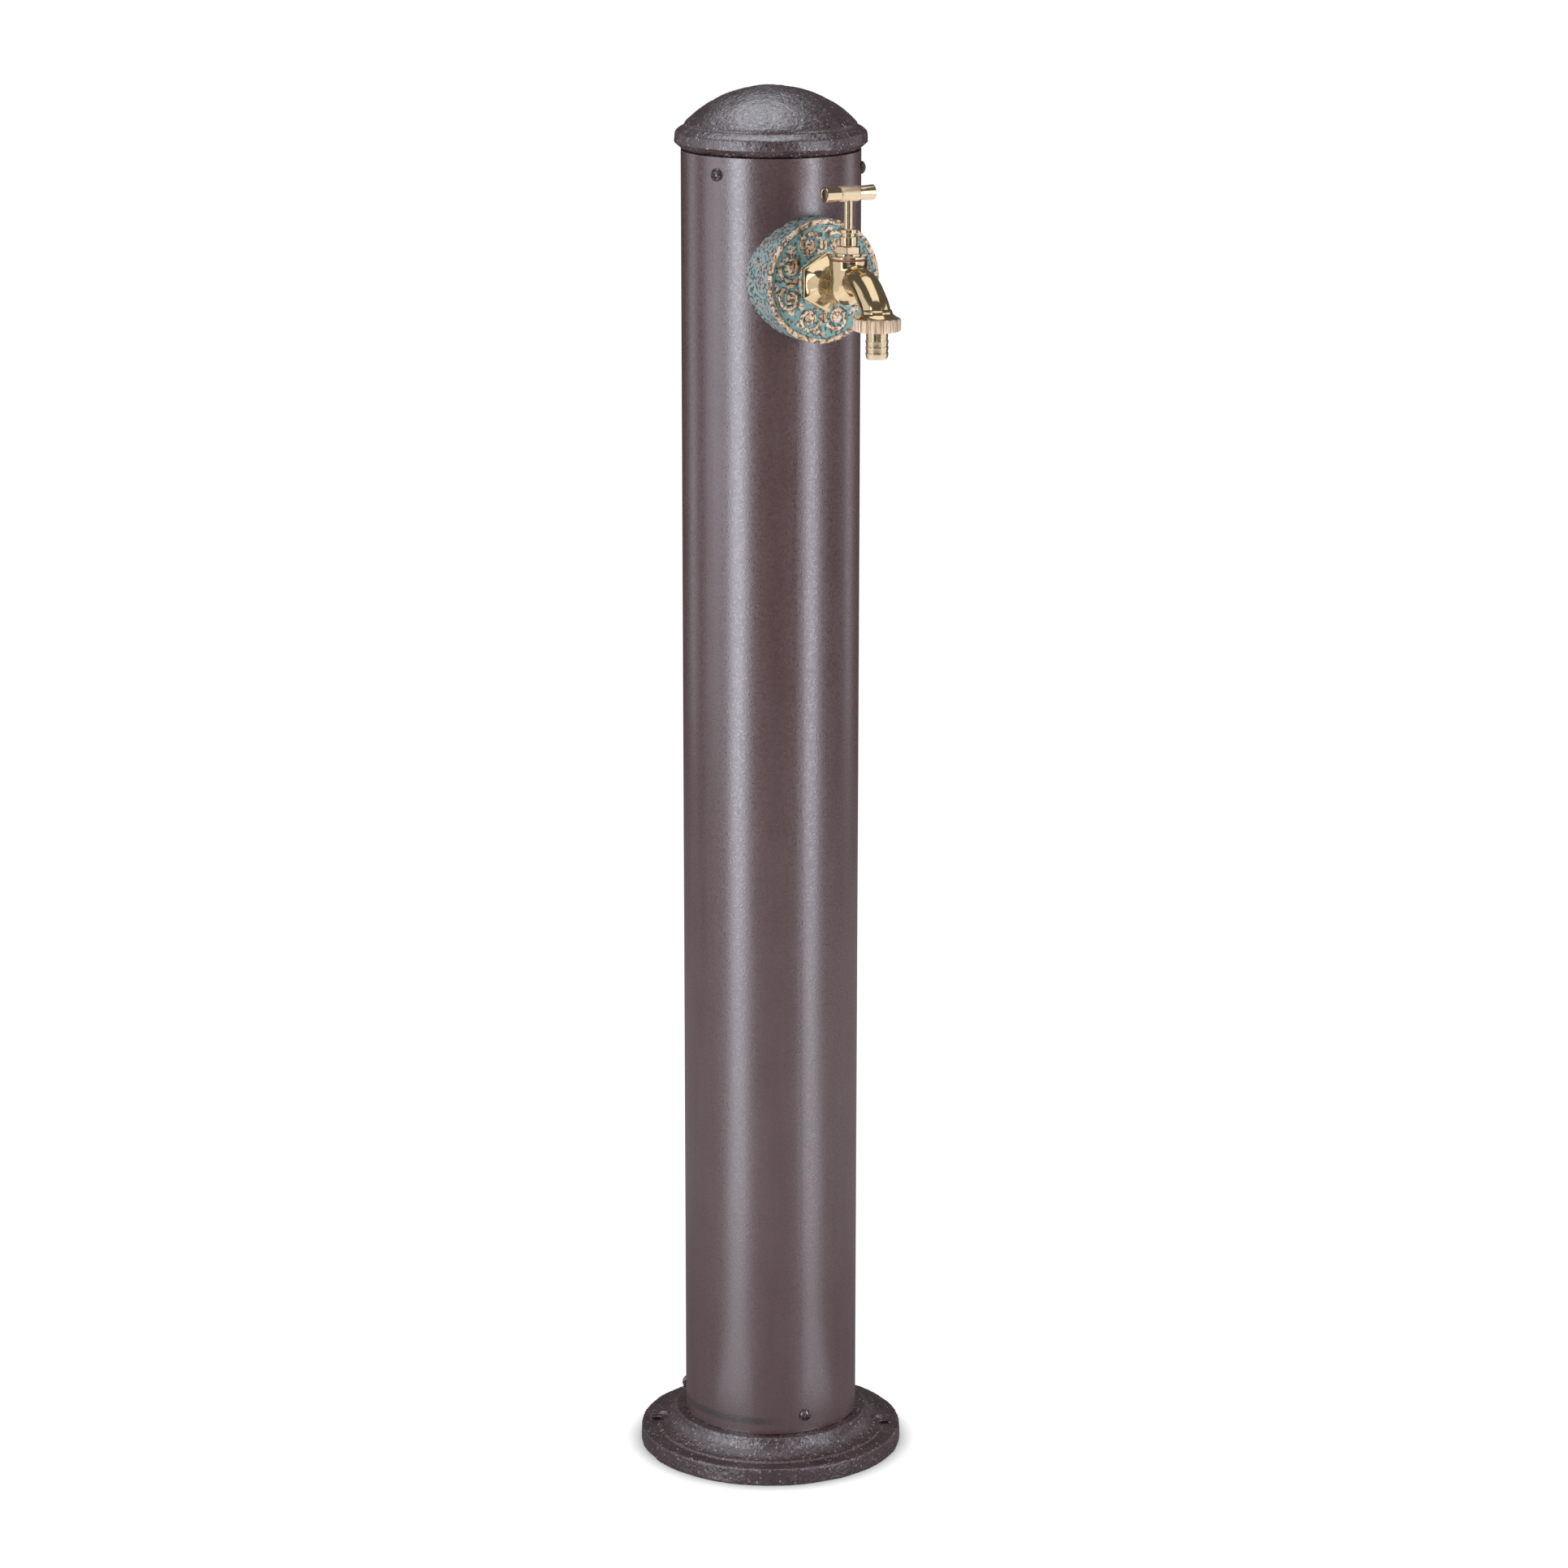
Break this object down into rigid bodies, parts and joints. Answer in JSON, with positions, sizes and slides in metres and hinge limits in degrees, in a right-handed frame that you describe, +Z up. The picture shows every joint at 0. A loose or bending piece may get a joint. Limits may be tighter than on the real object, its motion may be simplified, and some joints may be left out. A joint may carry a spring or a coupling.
{
  "type": "garden standpipe",
  "caption": "Floor-standing garden standpipe: steel column, cast foot and domed cap, bib tap on an ornamental rosette with tee handle, screw-down valve and hose union.",
  "frame": {"origin": "centre of the foot's underside, on the column's axis, at ground level", "axes": "+Z up along the column; the tap points along -Y; +X is to the right of someone who faces +Y"},
  "size_m": [0.175, 0.2436, 0.91],
  "materials": {
    "coated_casting": "rough dark red-brown powder coat",
    "coated_tube": "satin dark red-brown powder coat",
    "coated_screw": "dark painted steel",
    "patinated_bronze": "green patina rubbed through to bronze on the raised edges",
    "polished_brass": "polished",
    "brushed_brass": "fine turned and brushed",
    "plain_brass": "as machined",
    "galvanised_pipe": "galvanised",
    "black_rubber": "matt",
    "red_fibre": "matt vulcanised fibre",
    "ptfe_packing": "matt"
  },
  "bodies": {
    "standpipe": {"base_flange": "coated_casting", "column_tube": "coated_tube", "cap": "coated_casting", "cap_screws": "coated_screw", "base_screws": "coated_screw", "rosette": "patinated_bronze", "wall_nipple": "plain_brass", "saddle_washer": "black_rubber", "lock_nut": "plain_brass", "inlet_elbow": "plain_brass", "riser_pipe": "galvanised_pipe", "inlet_connector": "plain_brass", "connector_nut": "plain_brass", "tap_body": "polished_brass", "bonnet": "polished_brass", "bonnet_washer": "red_fibre", "gland_packing": "ptfe_packing", "gland_nut": "polished_brass"},
    "valve": {"jumper_valve": "plain_brass", "valve_washer": "black_rubber", "valve_nut": "plain_brass"},
    "handle": {"spindle": "polished_brass", "tee_handle": "brushed_brass"},
    "tail": {"hose_tail": "polished_brass", "tail_washer": "black_rubber"},
    "union": {"union_nut": "brushed_brass"}
  },
  "joints": [
    {"name": "valve_lift", "type": "slide", "parent": "standpipe", "child": "valve", "axis": [0, 0, 1], "range_m": [0, 0.005]},
    {"name": "handle_turn", "type": "hinge", "parent": "valve", "child": "handle", "pos_m": [0, -0.10395, 0.8533], "axis": [0, 0, 1], "range_deg": [0, 900]},
    {"name": "tail_drop", "type": "slide", "parent": "standpipe", "child": "tail", "axis": [0, 0, -1], "range_m": [0, 0.00907]},
    {"name": "union_nut_turn", "type": "hinge", "parent": "tail", "child": "union", "pos_m": [0, -0.14145, 0.7776], "axis": [0, 0, -1], "range_deg": [0, 1800]}
  ],
  "couplings": [
    {"joint": "handle_turn", "follows": "valve_lift", "rad_per_m": 3141.6},
    {"joint": "union_nut_turn", "follows": "tail_drop", "rad_per_m": 3463.7}
  ]
}
